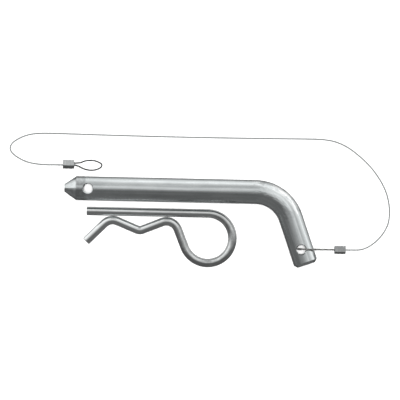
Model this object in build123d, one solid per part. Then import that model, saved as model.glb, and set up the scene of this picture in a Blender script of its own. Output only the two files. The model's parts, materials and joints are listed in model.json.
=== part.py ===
from build123d import *
import math
import os

# Hitch pin with its hairpin clip and wire-rope lanyard, laid out flat, in millimetres.
# The origin is the centre of the clip hole, on the shank's axis. +X runs along the shank to
# the bend, the handle turns towards -Y, and +Z is up. Everything lies on the plane z = FLOOR.

# Hitch pin: a bent round bar
PIN_DIA = 12.7
PIN_RADIUS = PIN_DIA / 2
FLOOR = -PIN_RADIUS
TIP_X = -12.5
TIP_LENGTH = 6.3
TIP_FLAT_RADIUS = 2.0
TIP_EDGE_ROUND = 0.3
BEND_CORNER_X = 103.1
BEND_ANGLE = 70.5
BEND_RADIUS = 20.0
HANDLE_LENGTH = 40.4  # from the corner of the two centrelines to the end face
HANDLE_CHAMFER = 1.5

# Cross holes in the pin: one for the clip, near the tip, and one for the lanyard's eye
HOLE_RADIUS = 2.5
HOLE_CHAMFER = 0.35
EYE_HOLE_LOWER_CHAMFER = 1.0  # clears the leg of the eye that passes under the handle
EYE_HOLE_FROM_END = 8.5
RIM_TOLERANCE = 0.01
RIM_SAMPLES = (0.1, 0.6)  # places along an edge, as shares of its length

# Hairpin clip: one bent wire
WIRE_DIA = 4.5
WIRE_RADIUS = WIRE_DIA / 2
CLIP_Z = FLOOR + WIRE_RADIUS
RING_CENTRE = (64.0, -25.1)
RING_RADIUS = 13.15
WIRE_END_CHAMFER = 0.35
STRAIGHT_LEG_START_X = -0.5
TAIL_END = (-0.6, -28.0)
OUTER_PEAK = (11.9, -15.45)
VALLEY = (27.8, -21.85)
INNER_PEAK = (45.6, -14.65)
PEAK_RADIUS = 6.5
VALLEY_RADIUS = 4.0

# Lanyard: a wire rope with an eye at each end, each held by a pressed ferrule
ROPE_DIA = 0.8
ROPE_RADIUS = ROPE_DIA / 2
ARC_SHARE = 0.45  # an arc of the rope takes this share of the shorter run beside it
PASS_OFFSET = 0.45  # from a ferrule's centre to each of its two bores
FERRULE_LENGTH = 6.0
FERRULE_SIDE = 3.8
FERRULE_CORNER = 0.4
FERRULE_EDGE = 0.25

HANDLE_EYE_Y = -29.8  # the upright plane of the handle's eye

# Each ferrule rests on its lower edge, rolled about X, with its centre this high over the floor
HANDLE_FERRULE = (134.4, HANDLE_EYE_Y, 2.2)
HANDLE_FERRULE_ROLL = 13
FREE_FERRULE = (-10.7, 12.63, 2.43)
FREE_FERRULE_ROLL = 28
LOW_PASS = HANDLE_FERRULE[2] - PASS_OFFSET
HIGH_PASS = HANDLE_FERRULE[2] + PASS_OFFSET
FREE_HEIGHT = FREE_FERRULE[2]
LIVE_PASS = FREE_FERRULE[1] - PASS_OFFSET
DEAD_PASS = FREE_FERRULE[1] + PASS_OFFSET
ROPE_END_SHORT = 0.2  # the cut ends stop this far inside a ferrule's outer face

# The rope's routes: x, y and the height of its centre over the floor
ON_FLOOR = ROPE_RADIUS
RUN_ROUTE = [
    (131.4, HANDLE_EYE_Y, LOW_PASS),
    (140.2, HANDLE_EYE_Y, LOW_PASS),
    (147.0, -29.5, ON_FLOOR),
    (153.6, -25.2, ON_FLOOR),
    (158.7, -18.6, ON_FLOOR),
    (160.5, -12.4, ON_FLOOR),
    (160.1, -5.1, ON_FLOOR),
    (158.3, 1.8, ON_FLOOR),
    (154.9, 8.1, ON_FLOOR),
    (149.5, 15.2, ON_FLOOR),
    (141.0, 22.6, ON_FLOOR),
    (133.8, 26.8, ON_FLOOR),
    (125.8, 28.8, ON_FLOOR),
    (110.0, 28.7, ON_FLOOR),
    (80.0, 28.4, ON_FLOOR),
    (45.0, 28.3, ON_FLOOR),
    (12.0, 28.5, ON_FLOOR),
    (-12.0, 28.8, ON_FLOOR),
    (-27.8, 28.9, ON_FLOOR),
    (-35.1, 27.2, ON_FLOOR),
    (-41.9, 23.0, ON_FLOOR),
    (-41.9, 18.2, ON_FLOOR),
    (-33.9, 13.4, ON_FLOOR),
    (-25.6, 12.1, ON_FLOOR),
    (-16.2, LIVE_PASS, FREE_HEIGHT),
    (-7.7, LIVE_PASS, FREE_HEIGHT),
]
HANDLE_EYE_ROUTE = [
    (131.4, HANDLE_EYE_Y, LOW_PASS),
    (129.3, HANDLE_EYE_Y, 1.7),
    (125.3, HANDLE_EYE_Y, ON_FLOOR),
    (116.2, HANDLE_EYE_Y, ON_FLOOR),
    (113.2, HANDLE_EYE_Y, 1.1),
    (111.85, HANDLE_EYE_Y, 3.6),
    (111.85, HANDLE_EYE_Y, 9.6),
    (112.8, HANDLE_EYE_Y, 12.7),
    (115.7, HANDLE_EYE_Y, 13.5),
    (119.0, HANDLE_EYE_Y, 12.1),
    (126.7, HANDLE_EYE_Y, HIGH_PASS),
    (137.4 - ROPE_END_SHORT, HANDLE_EYE_Y, HIGH_PASS),
]
FREE_EYE_ROUTE = [
    (-7.7, LIVE_PASS, FREE_HEIGHT),
    (-6.3, LIVE_PASS, FREE_HEIGHT),
    (-2.1, 10.0, 1.5),
    (2.1, 9.5, 0.8),
    (6.1, 10.7, 0.45),
    (7.3, 12.6, ON_FLOOR),
    (5.95, 13.85, 0.45),
    (2.4, 15.05, 0.8),
    (-2.2, 14.65, 1.5),
    (-5.0, DEAD_PASS, FREE_HEIGHT),
    (-13.7 + ROPE_END_SHORT, DEAD_PASS, FREE_HEIGHT),
]


def heading(degrees):
    """The direction in the XY plane at this angle from +X."""
    return Vector(math.cos(math.radians(degrees)), math.sin(math.radians(degrees)), 0)


def round_bar(path, radius):
    """A round bar swept along a path of straight runs and tangent arcs."""
    section = Plane(origin=path @ 0, z_dir=path % 0) * Circle(radius)
    return sweep(section, path=path)


# ---------------------------------------------------------------- hitch pin

def distance_from_axis(point, centre):
    """How far a point is from the vertical axis through centre."""
    return math.hypot(point.X - centre.X, point.Y - centre.Y)


def on_rim(point, centre, side):
    """Whether a point is on a cross hole's rim, above the bar's axis (side 1) or below it (-1)."""
    off_wall = abs(distance_from_axis(point, centre) - HOLE_RADIUS)
    return off_wall < RIM_TOLERANCE and point.Z * side > 0


def drill(bar, centre, lower_chamfer=HOLE_CHAMFER):
    """Drill a vertical cross hole through the bar and chamfer its two rims."""
    bar -= Pos(centre.X, centre.Y, 0) * Cylinder(HOLE_RADIUS, 2 * PIN_DIA)
    for side, length in ((1, HOLE_CHAMFER), (-1, lower_chamfer)):
        rim = [
            edge
            for edge in bar.edges()
            if edge.geom_type != GeomType.LINE
            and all(on_rim(edge @ at, centre, side) for at in RIM_SAMPLES)
        ]
        bar = chamfer(rim, length)
    return bar


def hitch_pin():
    along_handle = heading(-BEND_ANGLE)
    corner = Vector(BEND_CORNER_X, 0, 0)
    handle_end = corner + along_handle * HANDLE_LENGTH
    cone_base_x = TIP_X + TIP_LENGTH
    centreline = FilletPolyline((cone_base_x, 0, 0), corner, handle_end, radius=BEND_RADIUS)
    bar = round_bar(centreline, PIN_RADIUS)
    end_rim = bar.edges().filter_by(GeomType.CIRCLE).sort_by_distance(handle_end)[0]
    bar = chamfer(end_rim, HANDLE_CHAMFER)
    tip = Pos(TIP_X + TIP_LENGTH / 2, 0, 0) * Rot(0, -90, 0) * Cone(
        PIN_RADIUS, TIP_FLAT_RADIUS, TIP_LENGTH
    )
    tip = fillet(tip.edges().filter_by(GeomType.CIRCLE).sort_by(Axis.X)[0], TIP_EDGE_ROUND)
    bar = drill(bar + tip, Vector(0, 0, 0))
    return drill(bar, handle_end - along_handle * EYE_HOLE_FROM_END, EYE_HOLE_LOWER_CHAMFER)


# ------------------------------------------------------------- hairpin clip

def ring_tangent(point):
    """Where the line from a point above and left of the ring touches the ring's centreline."""
    to_centre = Vector(*RING_CENTRE) - Vector(*point)
    distance = to_centre.length
    angle = math.degrees(math.atan2(to_centre.Y, to_centre.X))
    angle -= math.degrees(math.asin(RING_RADIUS / distance))
    return Vector(*point) + heading(angle) * math.sqrt(distance**2 - RING_RADIUS**2)


def clip_straight_leg():
    y = RING_CENTRE[1] + RING_RADIUS
    path = Line((STRAIGHT_LEG_START_X, y, CLIP_Z), (RING_CENTRE[0], y, CLIP_Z))
    leg = round_bar(path, WIRE_RADIUS)
    return chamfer(leg.edges().filter_by(GeomType.CIRCLE).sort_by(Axis.X)[0], WIRE_END_CHAMFER)


def clip_ring():
    touch = ring_tangent(INNER_PEAK) - Vector(*RING_CENTRE)
    end_angle = math.degrees(math.atan2(touch.Y, touch.X)) % 360
    path = CenterArc((*RING_CENTRE, CLIP_Z), RING_RADIUS, 90, end_angle - 450)
    return round_bar(path, WIRE_RADIUS)


def clip_wavy_leg():
    touch = ring_tangent(INNER_PEAK)
    corners = [TAIL_END, OUTER_PEAK, VALLEY, INNER_PEAK, (touch.X, touch.Y)]
    path = FilletPolyline(
        *[(x, y, CLIP_Z) for x, y in corners],
        radius=[PEAK_RADIUS, VALLEY_RADIUS, PEAK_RADIUS],
    )
    leg = round_bar(path, WIRE_RADIUS)
    tail = leg.edges().filter_by(GeomType.CIRCLE).sort_by_distance((*TAIL_END, CLIP_Z))[0]
    return chamfer(tail, WIRE_END_CHAMFER)


# ------------------------------------------------------------------ lanyard

def rope(name, route):
    """A plain tube for the rope along a route, with each arc as large as its runs allow."""
    points = [Vector(x, y, FLOOR + height) for x, y, height in route]
    runs = [after - before for before, after in zip(points, points[1:])]
    radii = []
    for before, after in zip(runs, runs[1:]):
        half_turn = math.radians(before.get_angle(after)) / 2
        radii.append(ARC_SHARE * min(before.length, after.length) / math.tan(half_turn))
    path = FilletPolyline(*points, radius=radii)
    tube = round_bar(path, ROPE_RADIUS)
    expected = math.pi * ROPE_RADIUS**2 * path.length
    print(f"{name}: length {path.length:.1f} mm, volume / (area x length) {tube.volume / expected:.4f}")
    print("  arc radii, mm:", " ".join(f"{radius:.1f}" for radius in radii))
    return tube


def ferrule(centre, side, roll):
    """A square pressed sleeve along X, rolled towards +Y, with two bores side by side along side."""
    turn = math.radians(roll)
    section = Plane(origin=centre, x_dir=(0, math.cos(turn), -math.sin(turn)), z_dir=(1, 0, 0))
    outline = RectangleRounded(FERRULE_SIDE, FERRULE_SIDE, FERRULE_CORNER)
    sleeve = extrude(section * outline, FERRULE_LENGTH / 2, both=True)
    rims = sleeve.edges().group_by(Axis.X)
    sleeve = chamfer(rims[0] + rims[-1], FERRULE_EDGE)
    plane = Plane(origin=centre, x_dir=side, z_dir=(1, 0, 0))
    for offset in (-PASS_OFFSET, PASS_OFFSET):
        sleeve -= plane * Pos(offset, 0, 0) * Cylinder(ROPE_RADIUS, 2 * FERRULE_LENGTH)
    return sleeve


def placed(spot):
    """A place given by x, y and height over the floor, in the model's frame."""
    return Vector(spot[0], spot[1], FLOOR + spot[2])


NODES = {
    "hitch_pin": hitch_pin(),
    "clip_straight_leg": clip_straight_leg(),
    "clip_ring": clip_ring(),
    "clip_wavy_leg": clip_wavy_leg(),
    "lanyard_rope": rope("lanyard_rope", RUN_ROUTE),
    "lanyard_handle_eye": rope("lanyard_handle_eye", HANDLE_EYE_ROUTE),
    "lanyard_free_eye": rope("lanyard_free_eye", FREE_EYE_ROUTE),
    "handle_ferrule": ferrule(placed(HANDLE_FERRULE), Vector(0, 0, 1), HANDLE_FERRULE_ROLL),
    "free_ferrule": ferrule(placed(FREE_FERRULE), Vector(0, 1, 0), FREE_FERRULE_ROLL),
}

os.makedirs("parts", exist_ok=True)
for name, solid in NODES.items():
    export_step(solid, f"parts/{name}.step")
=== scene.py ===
import json
import math

import bmesh
import bpy
from mathutils import Matrix, Vector


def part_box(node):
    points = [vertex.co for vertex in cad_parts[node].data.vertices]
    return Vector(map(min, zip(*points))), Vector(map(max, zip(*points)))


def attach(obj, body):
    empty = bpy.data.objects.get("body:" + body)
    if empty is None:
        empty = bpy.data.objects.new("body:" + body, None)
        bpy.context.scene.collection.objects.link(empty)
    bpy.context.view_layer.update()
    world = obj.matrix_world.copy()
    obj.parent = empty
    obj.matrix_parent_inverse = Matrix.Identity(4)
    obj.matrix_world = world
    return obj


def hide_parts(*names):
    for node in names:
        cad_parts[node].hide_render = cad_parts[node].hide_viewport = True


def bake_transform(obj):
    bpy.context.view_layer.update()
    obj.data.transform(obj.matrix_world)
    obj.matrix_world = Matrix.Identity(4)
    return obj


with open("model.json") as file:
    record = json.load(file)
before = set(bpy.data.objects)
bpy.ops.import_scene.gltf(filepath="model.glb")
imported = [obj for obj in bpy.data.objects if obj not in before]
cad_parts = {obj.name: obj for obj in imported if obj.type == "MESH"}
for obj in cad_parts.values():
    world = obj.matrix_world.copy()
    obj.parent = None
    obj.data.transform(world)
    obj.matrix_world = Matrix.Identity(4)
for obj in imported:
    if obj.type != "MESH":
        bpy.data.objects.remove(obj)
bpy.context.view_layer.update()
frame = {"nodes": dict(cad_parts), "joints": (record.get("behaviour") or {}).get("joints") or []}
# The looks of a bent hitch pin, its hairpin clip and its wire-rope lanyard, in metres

MM = 0.001
UP = Vector((0, 0, 1))
TURN = 2 * math.pi

JOINTS = {joint["name"]: joint for joint in frame["joints"]}

# The pin, from its CAD box: it lies on the floor, and the clip hole is at the origin
PIN_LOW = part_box("hitch_pin")[0]
FLOOR = PIN_LOW.z
BEND_CORNER_X = 103.1 * MM
BEND_ANGLE = math.radians(70.5)
BEND_RADIUS = 20.0 * MM
HANDLE_LENGTH = 40.4 * MM
EYE_HOLE = Vector(JOINTS["lanyard_swing"]["pos_m"])

# Where the bar is coloured darker and where the bending tool marked it: lengths from its tip, and
# distances to the left of its middle
TIP_DARKER = (6.3 * MM, 10.8 * MM)
BEND_MARKED = (103 * MM, 124 * MM)
BEND_OUTSIDE = (2.6 * MM, 4.2 * MM)

# The clip, from its joint and its nodes' boxes
RING_CENTRE = Vector(JOINTS["clip_spring"]["pos_m"])
LEG_LOW, LEG_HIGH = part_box("clip_straight_leg")
WIRE_RADIUS = (LEG_HIGH.z - LEG_LOW.z) / 2
STRAIGHT_LEG_Y = (LEG_HIGH.y + LEG_LOW.y) / 2
RING_RADIUS = STRAIGHT_LEG_Y - RING_CENTRE.y
TAIL_END = (-0.6 * MM, -28.0 * MM)
OUTER_PEAK = (11.9 * MM, -15.45 * MM)
VALLEY = (27.8 * MM, -21.85 * MM)
INNER_PEAK = (45.6 * MM, -14.65 * MM)
PEAK_RADIUS = 6.5 * MM
VALLEY_RADIUS = 4.0 * MM

# The rope
ROPE_DIA = 0.8 * MM
STRANDS = 6  # round one more, so three lie side by side across the rope
STRANDS_ACROSS = 3
LAY_LENGTH = 8.0 * MM  # one full turn of a strand
HANDLE_EYE_Y = -29.8  # the upright plane of the handle's eye, in millimetres


def over_floor(route):
    """Route points given in millimetres, with heights over the floor, in the model's frame."""
    return [Vector((x * MM, y * MM, FLOOR + height * MM)) for x, y, height in route]


RUN_ROUTE = over_floor([
    (131.4, HANDLE_EYE_Y, 1.75),
    (140.2, HANDLE_EYE_Y, 1.75),
    (147.0, -29.5, 0.4),
    (153.6, -25.2, 0.4),
    (158.7, -18.6, 0.4),
    (160.5, -12.4, 0.4),
    (160.1, -5.1, 0.4),
    (158.3, 1.8, 0.4),
    (154.9, 8.1, 0.4),
    (149.5, 15.2, 0.4),
    (141.0, 22.6, 0.4),
    (133.8, 26.8, 0.4),
    (125.8, 28.8, 0.4),
    (110.0, 28.7, 0.4),
    (80.0, 28.4, 0.4),
    (45.0, 28.3, 0.4),
    (12.0, 28.5, 0.4),
    (-12.0, 28.8, 0.4),
    (-27.8, 28.9, 0.4),
    (-35.1, 27.2, 0.4),
    (-41.9, 23.0, 0.4),
    (-41.9, 18.2, 0.4),
    (-33.9, 13.4, 0.4),
    (-25.6, 12.1, 0.4),
    (-16.2, 12.18, 2.43),
    (-7.7, 12.18, 2.43),
])
HANDLE_EYE_ROUTE = over_floor([
    (131.4, HANDLE_EYE_Y, 1.75),
    (129.3, HANDLE_EYE_Y, 1.7),
    (125.3, HANDLE_EYE_Y, 0.4),
    (116.2, HANDLE_EYE_Y, 0.4),
    (113.2, HANDLE_EYE_Y, 1.1),
    (111.85, HANDLE_EYE_Y, 3.6),
    (111.85, HANDLE_EYE_Y, 9.6),
    (112.8, HANDLE_EYE_Y, 12.7),
    (115.7, HANDLE_EYE_Y, 13.5),
    (119.0, HANDLE_EYE_Y, 12.1),
    (126.7, HANDLE_EYE_Y, 2.65),
    (137.2, HANDLE_EYE_Y, 2.65),
])
FREE_EYE_ROUTE = over_floor([
    (-7.7, 12.18, 2.43),
    (-6.3, 12.18, 2.43),
    (-2.1, 10.0, 1.5),
    (2.1, 9.5, 0.8),
    (6.1, 10.7, 0.45),
    (7.3, 12.6, 0.4),
    (5.95, 13.85, 0.45),
    (2.4, 15.05, 0.8),
    (-2.2, 14.65, 1.5),
    (-5.0, 13.08, 2.43),
    (-13.5, 13.08, 2.43),
])


# ------------------------------------------------------------------ camera

# The view is square to the floor, turned a little against the shank
VIEW_CENTRE = Vector((59.5 * MM, -4.9 * MM, 0))
VIEW_WIDTH = 212.1 * MM
VIEW_TURN = math.radians(1.23)
CAMERA_HEIGHT = 3.0  # metres


def make_camera():
    data = bpy.data.cameras.new("camera")
    data.lens = data.sensor_width * CAMERA_HEIGHT / VIEW_WIDTH
    camera = bpy.data.objects.new("camera", data)
    camera.location = VIEW_CENTRE + UP * CAMERA_HEIGHT
    camera.rotation_euler = (0, 0, VIEW_TURN)
    bpy.context.scene.collection.objects.link(camera)
    bpy.context.scene.camera = camera


# --------------------------------------------------------------- mesh tools

def new_piece(name, vertices, faces, material, flat_edges=30):
    """A smooth-shaded mesh object whose edges sharper than flat_edges degrees stay sharp."""
    mesh = bpy.data.meshes.new(name)
    mesh.from_pydata([tuple(v) for v in vertices], [], faces)
    mesh.validate()
    mesh.materials.append(material)
    piece = bpy.data.objects.new(name, mesh)
    bpy.context.scene.collection.objects.link(piece)
    shape = bmesh.new()
    shape.from_mesh(mesh)
    bmesh.ops.recalc_face_normals(shape, faces=shape.faces)
    for face in shape.faces:
        face.smooth = True
    for edge in shape.edges:
        edge.smooth = not edge.is_manifold or edge.calc_face_angle() < math.radians(flat_edges)
    shape.to_mesh(mesh)
    shape.free()
    return piece


def write_bar_coords(piece, coords):
    """Stores each vertex's place in the straightened bar, which the materials' grain follows."""
    attribute = piece.data.attributes.new("bar_coords", "FLOAT_VECTOR", "POINT")
    attribute.data.foreach_set("vector", [number for place in coords for number in place])


def write_shares(piece, name, shares):
    """Stores a number from 0 to 1 at each vertex, which a material reads by this name."""
    piece.data.attributes.new(name, "FLOAT", "POINT").data.foreach_set("value", shares)


def skin(rings):
    """Faces between successive rings of vertices, with the two ends closed."""
    count = len(rings[0])
    faces = []
    for before, after in zip(rings, rings[1:]):
        for at in range(count):
            beside = (at + 1) % count
            faces.append((before[at], before[beside], after[beside], after[at]))
    return [*faces, tuple(reversed(rings[0])), tuple(rings[-1])]


# ------------------------------------------------------- bars bent in a plane

def direction(heading):
    return Vector((math.cos(heading), math.sin(heading), 0))


class BentPath:
    """Straight runs and arcs in a level plane, measured by length from the start.
    Each piece is (length at its start, its own length, start point, heading, radius), where
    radius is 0 for a straight run, and otherwise positive to the left and negative to the right."""

    def __init__(self, pieces):
        self.pieces = pieces
        self.length = pieces[-1][0] + pieces[-1][1]

    def arc_lengths(self, step):
        """Lengths where each piece starts and ends, with every arc divided into steps."""
        marks = []
        for start, length, _, _, radius in self.pieces:
            parts = max(1, math.ceil(length / step)) if radius else 1
            marks += [start + length * part / parts for part in range(parts)]
        return marks + [self.length]

    def at(self, length):
        """The point at this length and the heading there. Past the ends, the end pieces go on."""
        start, _, origin, heading, radius = next(
            (piece for piece in reversed(self.pieces) if length >= piece[0]), self.pieces[0]
        )
        along = length - start
        if not radius:
            return origin + direction(heading) * along, heading
        turned = along / radius
        centre = origin + direction(heading + math.pi / 2) * radius
        return centre - direction(heading + turned + math.pi / 2) * radius, heading + turned

    def straightened(self, point):
        """A point's place in the straightened bar: along it, to its left, and up."""
        places = []
        for start, length, origin, heading, radius in self.pieces:
            offset = Vector((point.x, point.y, 0)) - origin
            if radius:
                centre = origin + direction(heading + math.pi / 2) * radius
                spoke = Vector((point.x, point.y, 0)) - centre
                side = math.copysign(1, radius)
                turned = side * (math.atan2(spoke.y, spoke.x) - heading) + math.pi / 2
                turned = (turned + math.pi) % TURN - math.pi
                along = turned * abs(radius)
                left = side * (abs(radius) - spoke.length)
            else:
                along = offset.dot(direction(heading))
                left = offset.dot(direction(heading + math.pi / 2))
            outside = max(0.0, -along, along - length)
            places.append((outside, abs(left), start + along, left))
        _, _, along, left = min(places)
        return along, left, point.z


def bent_path(corners, radii):
    """A path from corner to corner, with each inner corner rounded by its radius."""
    points = [Vector((x, y, 0)) for x, y, *_ in corners]
    headings = [
        math.atan2((after - before).y, (after - before).x)
        for before, after in zip(points, points[1:])
    ]
    pieces, at, used = [], 0.0, 0.0
    for index, heading in enumerate(headings):
        run = (points[index + 1] - points[index]).length
        start = points[index] + direction(heading) * used
        turn, cut = 0.0, 0.0
        if index < len(radii):
            turn = (headings[index + 1] - heading + math.pi) % TURN - math.pi
            cut = radii[index] * math.tan(abs(turn) / 2)
        pieces.append((at, run - used - cut, start, heading, 0.0))
        at += run - used - cut
        if turn:
            arc = abs(turn) * radii[index]
            arc_start = points[index + 1] - direction(heading) * cut
            pieces.append((at, arc, arc_start, heading, math.copysign(radii[index], turn)))
            at += arc
        used = cut
    return BentPath(pieces)


def bar_point(path, height, length, angle, radius):
    """A point of a bar's surface: angle is round the bar, from its left side over its top."""
    centre, heading = path.at(length)
    left = direction(heading + math.pi / 2)
    return centre + left * (radius * math.cos(angle)) + UP * (height + radius * math.sin(angle))


def bar_place(length, angle, radius):
    """The same point's place in the straightened bar."""
    return (length, radius * math.cos(angle), radius * math.sin(angle))


def bent_bar(name, path, height, profile, sides, material):
    """A bar along a path. profile lists (length, radius) from end to end."""
    vertices, coords, rings = [], [], []
    for length, radius in profile:
        ring = []
        for side in range(sides):
            angle = TURN * side / sides
            ring.append(len(vertices))
            vertices.append(bar_point(path, height, length, angle, radius))
            coords.append(bar_place(length, angle, radius))
        rings.append(ring)
    piece = new_piece(name, vertices, skin(rings), material)
    write_bar_coords(piece, coords)
    return piece


def rounded_end(length, radius, edge, inward, steps=4):
    """Profile points that round a bar's rim. inward is +1 at the start and -1 at the end."""
    turns = [math.pi / 2 * step / steps for step in range(steps + 1)]
    return [
        (length + inward * edge * (1 - math.sin(turn)), radius - edge * (1 - math.cos(turn)))
        for turn in reversed(turns)
    ]


# ---------------------------------------------------------------------- pin

def make_pin(steel):
    """The pin keeps its CAD shape, with coordinates along and across the bar for its grain."""
    end = Vector((BEND_CORNER_X, 0, 0)) + direction(-BEND_ANGLE) * HANDLE_LENGTH
    path = bent_path([(PIN_LOW.x, 0), (BEND_CORNER_X, 0), (end.x, end.y)], [BEND_RADIUS])
    mesh = frame["nodes"]["hitch_pin"].data.copy()
    mesh.name = "hitch_pin_bar"
    mesh.materials.clear()
    mesh.materials.append(steel)
    pin = bpy.data.objects.new("hitch_pin_bar", mesh)
    bpy.context.scene.collection.objects.link(pin)
    write_bar_coords(pin, [path.straightened(vertex.co) for vertex in mesh.vertices])
    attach(pin, "pin")
    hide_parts("hitch_pin")


# --------------------------------------------------------------- materials

def node(tree, kind, **settings):
    made = tree.nodes.new(kind)
    for name, value in settings.items():
        setattr(made, name, value)
    return made


def ramp(tree, source, stops):
    """A colour ramp of grey values, (position, value), on a scalar socket."""
    made = node(tree, "ShaderNodeValToRGB")
    elements = made.color_ramp.elements
    for element, (position, value) in zip(elements, stops):
        element.position, element.color = position, (value, value, value, 1)
    for position, value in stops[2:]:
        elements.new(position).color = (value, value, value, 1)
    tree.links.new(source, made.inputs["Fac"])
    return made.outputs["Color"]


def mix(tree, factor, a, b, blend_type="MIX"):
    made = node(tree, "ShaderNodeMix", data_type="RGBA", blend_type=blend_type)
    for name, value in (("Factor", factor), ("A", a), ("B", b)):
        socket = made.inputs[name]
        if isinstance(value, bpy.types.NodeSocket):
            tree.links.new(value, socket)
        else:
            socket.default_value = value if isinstance(value, float) else (*value, 1)
    return made.outputs["Result"]


def times(tree, a, b):
    return mix(tree, 1.0, a, b, "MULTIPLY")


def noise(tree, coords, scale, detail=4.0, roughness=0.55, squeeze=(1, 1, 1)):
    """Noise over coordinates in metres, with scale in features per metre."""
    mapping = node(tree, "ShaderNodeMapping")
    mapping.inputs["Scale"].default_value = tuple(scale * part for part in squeeze)
    tree.links.new(coords, mapping.inputs["Vector"])
    made = node(tree, "ShaderNodeTexNoise", noise_dimensions="3D")
    made.inputs["Scale"].default_value = 1.0
    made.inputs["Detail"].default_value = detail
    made.inputs["Roughness"].default_value = roughness
    tree.links.new(mapping.outputs["Vector"], made.inputs["Vector"])
    return made.outputs["Fac"]


def bar_coords(tree):
    return node(tree, "ShaderNodeAttribute", attribute_name="bar_coords").outputs["Vector"]


def axis_share(tree, coords, axis, start, end):
    """How far one coordinate is from start (0) to end (1)."""
    split = node(tree, "ShaderNodeSeparateXYZ")
    tree.links.new(coords, split.inputs["Vector"])
    share = node(tree, "ShaderNodeMapRange")
    share.inputs["From Min"].default_value = start
    share.inputs["From Max"].default_value = end
    tree.links.new(split.outputs[axis], share.inputs["Value"])
    return share.outputs["Result"]


def along(tree, coords, start, end, fade):
    """1 between two lengths along the bar, fading to 0 outside them."""
    edge = fade / (end - start + 4 * fade)
    return ramp(tree, axis_share(tree, coords, "X", start - 2 * fade, end + 2 * fade), [
        (0.0, 0.0), (edge, 0.0), (2 * edge, 1.0), (1 - 2 * edge, 1.0), (1 - edge, 0.0),
    ])


def relief(tree, height, strength, distance, before=None):
    made = node(tree, "ShaderNodeBump")
    made.inputs["Strength"].default_value = strength
    made.inputs["Distance"].default_value = distance
    tree.links.new(height, made.inputs["Height"])
    if before:
        tree.links.new(before, made.inputs["Normal"])
    return made.outputs["Normal"]


def metal(name, roughness=0.3, metallic=1.0):
    material = bpy.data.materials.new(name)
    material.use_nodes = True
    shader = material.node_tree.nodes["Principled BSDF"]
    shader.inputs["Metallic"].default_value = metallic
    shader.inputs["Roughness"].default_value = roughness
    return material, material.node_tree, shader


def plated_steel(
    name, bright, dull, grain=1.0, dull_span=None, dull_fade=0.8 * MM, marked_span=None
):
    """Zinc-plated drawn steel: drawing lines, cloudy plating, pits and scratches.
    dull_span is a stretch coloured darker, and marked_span one with the bending tool's marks."""
    material, tree, shader = metal(name)
    coords = bar_coords(tree)
    fine_lines = noise(tree, coords, 2600 * grain, 5.0, 0.6, (0.012, 1, 1))
    broad_lines = noise(tree, coords, 620 * grain, 3.0, 0.5, (0.03, 1, 1))
    clouds = noise(tree, coords, 150 * grain, 4.0, 0.65, (0.5, 1, 1))
    pits = noise(tree, coords, 3800 * grain, 2.0, 0.5)
    base = mix(tree, ramp(tree, clouds, [(0.35, 0.0), (0.65, 1.0)]), dull, bright)
    base = times(tree, base, ramp(tree, broad_lines, [(0.32, 0.84), (0.55, 1.0)]))
    base = times(tree, base, ramp(tree, pits, [(0.26, 0.72), (0.36, 1.0)]))
    normal = relief(tree, mix(tree, 0.3, fine_lines, pits), 0.3, 0.02 * MM)
    normal = relief(tree, broad_lines, 0.25, 0.08 * MM, normal)
    if dull_span:
        patches = ramp(tree, noise(tree, coords, 500, 3.0, 0.6), [(0.3, 0.4), (0.55, 1.0)])
        darkened = times(tree, along(tree, coords, *dull_span, dull_fade), patches)
        base = mix(tree, darkened, base, times(tree, base, (0.72, 0.72, 0.72)))
    if marked_span:
        marks = noise(tree, coords, 420, 4.0, 0.6, (0.45, 1, 1))
        height = mix(tree, along(tree, coords, *marked_span, 5 * MM), (0.5, 0.5, 0.5), marks)
        normal = relief(tree, height, 0.8, 0.35 * MM, normal)
        leftward = axis_share(tree, coords, "Y", *BEND_OUTSIDE)
        outside = times(tree, along(tree, coords, *marked_span, 4 * MM), leftward)
        smears = noise(tree, coords, 330, 3.0, 0.6, (0.5, 1, 1))
        polished = times(tree, outside, ramp(tree, smears, [(0.46, 0.0), (0.56, 0.9)]))
        base = mix(tree, polished, base, (0.97, 0.98, 0.98))
        scuffed = times(tree, outside, ramp(tree, smears, [(0.36, 0.75), (0.43, 0.0)]))
        base = mix(tree, scuffed, base, (0.34, 0.35, 0.35))
    tree.links.new(base, shader.inputs["Base Color"])
    tree.links.new(ramp(tree, fine_lines, [(0.3, 0.1), (0.7, 0.22)]), shader.inputs["Roughness"])
    tree.links.new(normal, shader.inputs["Normal"])
    return material


FLECK_COLOUR = (0.75, 0.76, 0.74)
# Near black: painted shade on the rope inside the pin's handle hole
HOLE_SHADE_PAINT = (0.008, 0.008, 0.008)
HALF_METAL = 0.6  # dull galvanised strands also scatter light
DARK_METAL = 0.85


def strand_steel(name, bright, dull, roughness, metallic, flecked=0.0):
    """Bare wire strands with their own fine wires, some strands lighter than the rest, and painted
    shade on the strands inside the pin's handle hole.
    """
    material, tree, shader = metal(name, roughness, metallic)
    coords = bar_coords(tree)
    wires = node(tree, "ShaderNodeTexWave", wave_type="BANDS", bands_direction="DIAGONAL")
    wires.inputs["Scale"].default_value = 900
    wires.inputs["Distortion"].default_value = 0.6
    tree.links.new(coords, wires.inputs["Vector"])
    base = mix(tree, ramp(tree, wires.outputs["Fac"], [(0.1, 0.0), (0.6, 1.0)]), dull, bright)
    light = node(tree, "ShaderNodeAttribute", attribute_name="light_strand").outputs["Fac"]
    fleck_share = mix(tree, light, (0, 0, 0), (flecked, flecked, flecked))
    base = mix(tree, fleck_share, base, FLECK_COLOUR)
    # Strands inside the pin's handle hole turn near black: painted shade
    in_hole_shade = node(tree, "ShaderNodeAttribute", attribute_name="in_hole_shade").outputs["Fac"]
    base = mix(tree, in_hole_shade, base, HOLE_SHADE_PAINT)
    tree.links.new(base, shader.inputs["Base Color"])
    tree.links.new(relief(tree, wires.outputs["Fac"], 0.6, 0.03 * MM), shader.inputs["Normal"])
    return material


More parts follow.
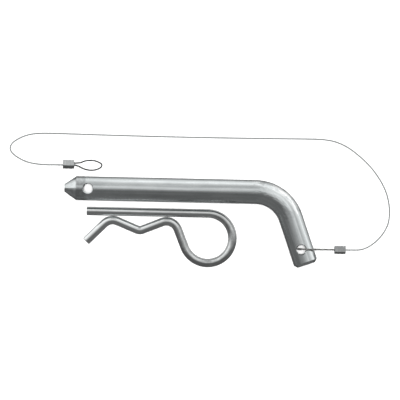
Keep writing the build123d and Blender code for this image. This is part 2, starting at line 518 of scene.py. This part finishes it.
def satin_aluminium(name, light, dark):
    """Pressed aluminium: soft scuffs and fine lines from the press."""
    material, tree, shader = metal(name, 0.36)
    coords = bar_coords(tree)
    scuffs = noise(tree, coords, 900, 4.0, 0.6, (0.5, 1, 1))
    lines = noise(tree, coords, 3500, 3.0, 0.5, (0.05, 1, 1))
    base = mix(tree, ramp(tree, scuffs, [(0.3, 0.0), (0.6, 1.0)]), dark, light)
    tree.links.new(base, shader.inputs["Base Color"])
    tree.links.new(ramp(tree, scuffs, [(0.3, 0.42), (0.7, 0.3)]), shader.inputs["Roughness"])
    normal = relief(tree, mix(tree, 0.5, scuffs, lines), 0.35, 0.04 * MM)
    tree.links.new(normal, shader.inputs["Normal"])
    return material


# ------------------------------------------------------------------ lanyard

ROPE_STEP = 0.3 * MM


def centreline(route):
    """Evenly spaced points along the route's smooth NURBS line."""
    curve = bpy.data.curves.new("route", "CURVE")
    curve.dimensions = "3D"
    curve.resolution_u = 24
    spline = curve.splines.new("NURBS")
    spline.points.add(len(route) - 1)
    for point, place in zip(spline.points, route):
        point.co = (*place, 1)
    spline.order_u = 3
    spline.use_endpoint_u = True
    guide = bpy.data.objects.new("route", curve)
    line = bpy.data.meshes.new_from_object(guide)
    points = [vertex.co.copy() for vertex in line.vertices]
    bpy.data.objects.remove(guide)
    bpy.data.curves.remove(curve)
    bpy.data.meshes.remove(line)
    return evenly_spaced(points, ROPE_STEP)


def evenly_spaced(points, step):
    marks = [0.0]
    for before, after in zip(points, points[1:]):
        marks.append(marks[-1] + (after - before).length)
    count = max(2, round(marks[-1] / step))
    spaced, segment = [], 0
    for index in range(count + 1):
        target = marks[-1] * index / count
        while segment < len(points) - 2 and marks[segment + 1] < target:
            segment += 1
        span = marks[segment + 1] - marks[segment]
        share = (target - marks[segment]) / span if span else 0.0
        spaced.append(points[segment].lerp(points[segment + 1], min(1.0, share)))
    return spaced


def carried_sides(points):
    """A pair of directions across the line at each point, carried along it without twist."""
    tangents = [
        (points[min(i + 1, len(points) - 1)] - points[max(i - 1, 0)]).normalized()
        for i in range(len(points))
    ]
    side = tangents[0].orthogonal().normalized()
    pairs = []
    for before, tangent in zip([tangents[0], *tangents], tangents):
        side = before.rotation_difference(tangent) @ side
        side = (side - tangent * side.dot(tangent)).normalized()
        pairs.append((side, tangent.cross(side)))
    return pairs


LIGHT_STRANDS = (1, 4)  # the strands coloured lighter along their whole length, which show as light flecks
STRAND_SIDES = 8
# The rope's painted shade inside the pin's handle hole reaches this far
HOLE_SHADE_REACH = 3.0 * MM  # from the handle hole's axis
HOLE_SHADE_FADE = 0.8 * MM


def strand_tube(vertices, coords, faces, line, radius):
    """Adds a closed tube along a line to the lists of a growing mesh."""
    rings, travelled = [], 0.0
    for index, (centre, (side, across)) in enumerate(zip(line, carried_sides(line))):
        if index:
            travelled += (centre - line[index - 1]).length
        ring = []
        for at in range(STRAND_SIDES):
            angle = TURN * at / STRAND_SIDES
            ring.append(len(vertices))
            spoke = side * (radius * math.cos(angle)) + across * (radius * math.sin(angle))
            vertices.append(centre + spoke)
            coords.append(bar_place(travelled, angle, radius))
        rings.append(ring)
    faces += skin(rings)


def painted_hole_shade(point):
    """The share of painted shade at a point: 1 near the handle hole's axis, on the far side from
    the ferrule, and 0 elsewhere.
    """
    offset = point - EYE_HOLE
    if abs(offset.y) > HOLE_SHADE_REACH or abs(offset.x) > HOLE_SHADE_REACH:
        return 0.0
    return min(1.0, max(0.0, 0.5 - offset.x / HOLE_SHADE_FADE))


def wire_rope(name, route, material):
    """A wire rope of twisted strands round a core strand, and the line that it follows."""
    line = centreline(route)
    sides = carried_sides(line)
    strand_radius = ROPE_DIA / STRANDS_ACROSS / 2
    helix_radius = ROPE_DIA / 2 - strand_radius
    vertices, coords, faces = [], [], []
    strand_tube(vertices, coords, faces, line, strand_radius)
    light = [0.0] * len(vertices)
    step = (line[1] - line[0]).length
    for strand in range(STRANDS):
        twisted = []
        for index, (centre, (side, across)) in enumerate(zip(line, sides)):
            angle = TURN * (strand / STRANDS + index * step / LAY_LENGTH)
            spoke = side * math.cos(angle) + across * math.sin(angle)
            twisted.append(centre + spoke * helix_radius)
        strand_tube(vertices, coords, faces, twisted, strand_radius)
        light += [float(strand in LIGHT_STRANDS)] * (len(vertices) - len(light))
    piece = new_piece(name, vertices, faces, material)
    write_bar_coords(piece, coords)
    write_shares(piece, "light_strand", light)
    # How far each vertex lies in the hole's painted shade
    write_shares(piece, "in_hole_shade", [painted_hole_shade(vertex) for vertex in vertices])
    return piece, line


# The ferrules, square in section with rounded corners, as in their CAD nodes
FERRULE_SIDE = 3.8 * MM
FERRULE_CORNER = 0.4 * MM
FERRULE_END_EDGE = 0.25 * MM
HANDLE_FERRULE_ROLL = math.radians(13)
FREE_FERRULE_ROLL = math.radians(28)
PRESS_DEPTH = 0.1 * MM
PRESS_MARKS = 3
CORNER_PARTS = 6
SIDE_PARTS = 6
FERRULE_STEPS = 60


def ferrule_corner(corner, part):
    """A point of one rounded corner of the square section, from part 0 to CORNER_PARTS."""
    flat = FERRULE_SIDE / 2 - FERRULE_CORNER
    middle = TURN / 4 * (corner + 0.5)
    angle = TURN / 4 * (corner + part / CORNER_PARTS)
    return (
        math.copysign(flat, math.cos(middle)) + FERRULE_CORNER * math.cos(angle),
        math.copysign(flat, math.sin(middle)) + FERRULE_CORNER * math.sin(angle),
    )


def ferrule_outline(inset):
    """The section moved in by inset, with its sides divided so that they can bend."""
    outline = []
    for corner in range(4):
        outline += [ferrule_corner(corner, part) for part in range(CORNER_PARTS + 1)]
        x, y = outline[-1]
        next_x, next_y = ferrule_corner(corner + 1, 0)
        for part in range(1, SIDE_PARTS):
            share = part / SIDE_PARTS
            outline.append((x + (next_x - x) * share, y + (next_y - y) * share))
    scale = 1 - 2 * inset / FERRULE_SIDE
    return [(x * scale, y * scale) for x, y in outline]


def pressed_ferrule(cad_name, roll, material):
    """A square sleeve in its CAD node's place, rolled about X, with the press's marks."""
    low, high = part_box(cad_name)
    centre, length = (low + high) / 2, (high - low).x
    turn = Matrix.Rotation(-roll, 3, "X")
    vertices, coords, rings = [], [], []
    for step in range(FERRULE_STEPS + 1):
        share = step / FERRULE_STEPS
        to_end = length * min(share, 1 - share)
        inset = max(0.0, FERRULE_END_EDGE - to_end)
        inset += PRESS_DEPTH * (0.5 - 0.5 * math.cos(TURN * PRESS_MARKS * share)) ** 2
        ring = []
        for across, height in ferrule_outline(inset):
            ring.append(len(vertices))
            spot = Vector((length * (share - 0.5), across, height))
            vertices.append(centre + turn @ spot)
            coords.append(tuple(spot))
        rings.append(ring)
    piece = new_piece(f"{cad_name}_sleeve", vertices, skin(rings), material, flat_edges=40)
    write_bar_coords(piece, coords)
    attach(piece, "lanyard")
    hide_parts(cad_name)
    return piece


def make_lanyard():
    rope_steel = strand_steel(
        "rope_strands", (0.42, 0.435, 0.435), (0.26, 0.27, 0.27),
        roughness=0.42, metallic=HALF_METAL, flecked=0.1,
    )
    eye_steel = strand_steel(
        "eye_strands", (0.13, 0.135, 0.135), (0.03, 0.03, 0.03), roughness=0.42, metallic=DARK_METAL
    )
    handle_eye_steel = strand_steel(
        "handle_eye_strands", (0.2, 0.2, 0.19), (0.05, 0.05, 0.05),
        roughness=0.38, metallic=DARK_METAL, flecked=0.9,
    )
    run, run_line = wire_rope("wire_rope_run", RUN_ROUTE, rope_steel)
    handle_eye, handle_line = wire_rope("wire_rope_handle_eye", HANDLE_EYE_ROUTE, handle_eye_steel)
    free_eye, free_line = wire_rope("wire_rope_free_eye", FREE_EYE_ROUTE, eye_steel)
    # The handle's ferrule gets a darker copy of the ferrule aluminium: painted shade
    painted_shade_aluminium = satin_aluminium(
        "painted_shade_aluminium", light=(0.39, 0.4, 0.4), dark=(0.29, 0.3, 0.3)
    )
    aluminium = satin_aluminium(
        "ferrule_aluminium", light=(0.52, 0.535, 0.535), dark=(0.4, 0.415, 0.415)
    )
    handle_ferrule = pressed_ferrule("handle_ferrule", HANDLE_FERRULE_ROLL, painted_shade_aluminium)
    free_ferrule = pressed_ferrule("free_ferrule", FREE_FERRULE_ROLL, aluminium)
    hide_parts("lanyard_rope")
    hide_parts("lanyard_handle_eye")
    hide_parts("lanyard_free_eye")
    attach(run, "lanyard")
    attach(free_eye, "lanyard")
    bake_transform(handle_eye)


# --------------------------------------------------------------------- clip

END_EDGE = 0.35 * MM
ARC_STEP = 0.5 * MM
WIRE_SIDES = 40
DULL_RING = 7 * MM  # length along the ring after which it is coloured darker
DULL_ARM = 10 * MM  # length of the wavy leg, from the ring, that is coloured darker too
DULL_FADE = 5 * MM
PAST_END = 200 * MM


def ring_tangent(point):
    """Where the line from a point above and left of the ring touches the ring's centreline."""
    to_centre = Vector((RING_CENTRE.x - point[0], RING_CENTRE.y - point[1], 0))
    distance = to_centre.length
    heading = math.atan2(to_centre.y, to_centre.x) - math.asin(RING_RADIUS / distance)
    return Vector((*point, 0)) + direction(heading) * math.sqrt(distance**2 - RING_RADIUS**2)


def clip_steel(name, dull_span=None):
    return plated_steel(
        name, (0.86, 0.885, 0.885), (0.76, 0.78, 0.78), grain=1.6,
        dull_span=dull_span, dull_fade=DULL_FADE,
    )


def make_clip():
    """The clip's wire is brightest on its legs, and duller round its ring."""
    touch = ring_tangent(INNER_PEAK)
    height = RING_CENTRE.z
    leg_path = bent_path([(LEG_LOW.x, STRAIGHT_LEG_Y), (RING_CENTRE.x, STRAIGHT_LEG_Y)], [])
    leg_profile = rounded_end(0, WIRE_RADIUS, END_EDGE, 1) + [(leg_path.length, WIRE_RADIUS)]
    leg_steel = clip_steel("clip_leg_zinc")
    leg = bent_bar("clip_straight_leg_wire", leg_path, height, leg_profile, WIRE_SIDES, leg_steel)
    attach(leg, "clip")
    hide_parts("clip_straight_leg")

    arm_path = bent_path(
        [TAIL_END, OUTER_PEAK, VALLEY, INNER_PEAK, touch], [PEAK_RADIUS, VALLEY_RADIUS, PEAK_RADIUS]
    )
    arm_profile = rounded_end(0, WIRE_RADIUS, END_EDGE, 1)
    arm_profile += [(at, WIRE_RADIUS) for at in arm_path.arc_lengths(ARC_STEP)[1:]]
    arm_steel = clip_steel("clip_arm_zinc", (arm_path.length - DULL_ARM, PAST_END))
    arm = bent_bar("clip_wavy_leg_wire", arm_path, height, arm_profile, WIRE_SIDES, arm_steel)
    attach(arm, "clip_arm")
    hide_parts("clip_wavy_leg")

    ring = make_ring(touch, clip_steel("clip_ring_zinc", (DULL_RING, PAST_END)))
    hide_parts("clip_ring")
    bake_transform(ring)


def make_ring(touch, steel):
    """The ring's wire, clockwise from the straight leg's end to the wavy leg's."""
    offset = touch - RING_CENTRE
    end_angle = math.atan2(offset.y, offset.x) % TURN
    sweep = math.pi / 2 - end_angle + TURN
    top = Vector((RING_CENTRE.x, STRAIGHT_LEG_Y, 0))
    path = BentPath([(0.0, sweep * RING_RADIUS, top, 0.0, -RING_RADIUS)])
    profile = [(at, WIRE_RADIUS) for at in path.arc_lengths(ARC_STEP)]
    return bent_bar("clip_ring_wire", path, RING_CENTRE.z, profile, WIRE_SIDES, steel)


# -------------------------------------------------------------------- stage

FLOOR_REACH = 3.0  # metres each way from the origin


def make_floor():
    corners = ((-1, -1), (1, -1), (1, 1), (-1, 1))
    vertices = [(x * FLOOR_REACH, y * FLOOR_REACH, FLOOR) for x, y in corners]
    material = bpy.data.materials.new("floor")
    material.use_nodes = True
    shader = material.node_tree.nodes["Principled BSDF"]
    shader.inputs["Base Color"].default_value = (0.93, 0.93, 0.93, 1)
    shader.inputs["Roughness"].default_value = 0.9
    shader.inputs["Specular IOR Level"].default_value = 0.1
    mesh = bpy.data.meshes.new("floor")
    mesh.from_pydata(vertices, [], [(0, 1, 2, 3)])
    mesh.materials.append(material)
    floor = bpy.data.objects.new("floor", mesh)
    bpy.context.scene.collection.objects.link(floor)
    floor.visible_glossy = False


# Studio brightness by a direction's height, from straight down (0) to straight up (1)
LIT_MIDDLE = [
    (0.0, 0.1), (0.1, 0.2), (0.2, 0.34), (0.36, 0.72), (0.5, 0.91), (0.64, 0.7), (0.75, 0.49),
    (0.84, 0.39), (0.91, 0.4), (0.96, 0.59), (1.0, 0.57),
]
LIT_SIDES = [
    (0.0, 0.12), (0.15, 0.3), (0.3, 0.55), (0.5, 0.8), (0.75, 0.84), (0.84, 0.8), (0.92, 0.72),
    (0.98, 0.6), (1.0, 0.57),
]
SHADED = [
    (0.0, 0.06), (0.2, 0.09), (0.36, 0.125), (0.5, 0.11), (0.64, 0.1), (0.75, 0.108), (1.0, 0.112),
]
# Share of the lit half by a direction's Y, and of its sides by X, from -1 (0) to +1 (1)
LIT_SHARE = [(0.36, 0.0), (0.4, 0.12), (0.45, 0.25), (0.5, 0.4), (0.535, 0.62), (0.6, 1.0)]
SIDE_SHARE = [
    (0.4, 1.0), (0.46, 0.0), (0.54, 0.0), (0.6, 1.0), (0.72, 1.0), (0.83, 0.15), (1.0, 0.15),
]
STUDIO_STRENGTH = 1.4


def make_world():
    """A soft studio: panels over the +Y half with a gap between, and shade over the -Y half."""
    world = bpy.data.worlds.new("studio")
    bpy.context.scene.world = world
    world.use_nodes = True
    tree = world.node_tree
    background = tree.nodes["Background"]
    split = node(tree, "ShaderNodeSeparateXYZ")
    tree.links.new(node(tree, "ShaderNodeTexCoord").outputs["Generated"], split.inputs["Vector"])
    shares = {}
    for axis in "XYZ":
        share = node(tree, "ShaderNodeMapRange")
        share.inputs["From Min"].default_value = -1.0
        tree.links.new(split.outputs[axis], share.inputs["Value"])
        shares[axis] = share.outputs["Result"]
    middle = ramp(tree, shares["Z"], LIT_MIDDLE)
    sides = ramp(tree, shares["Z"], LIT_SIDES)
    lit = mix(tree, ramp(tree, shares["X"], SIDE_SHARE), middle, sides)
    tone = mix(tree, ramp(tree, shares["Y"], LIT_SHARE), ramp(tree, shares["Z"], SHADED), lit)
    tree.links.new(tone, background.inputs["Color"])
    background.inputs["Strength"].default_value = STUDIO_STRENGTH


def sun(name, aim, spread, strength):
    data = bpy.data.lights.new(name, "SUN")
    data.angle = math.radians(spread)
    data.energy = strength
    light = bpy.data.objects.new(name, data)
    light.rotation_euler = Vector(aim).to_track_quat("-Z", "Y").to_euler()
    light.visible_glossy = False
    bpy.context.scene.collection.objects.link(light)


bpy.context.scene.view_settings.view_transform = "Standard"
make_camera()
make_lanyard()
make_clip()
make_pin(plated_steel(
    "pin_zinc_plate", (0.76, 0.795, 0.8), (0.66, 0.695, 0.7),
    dull_span=TIP_DARKER, marked_span=BEND_MARKED,
))
make_floor()
make_world()
sun("overhead", aim=(0, 0, -1), spread=12, strength=3.6)
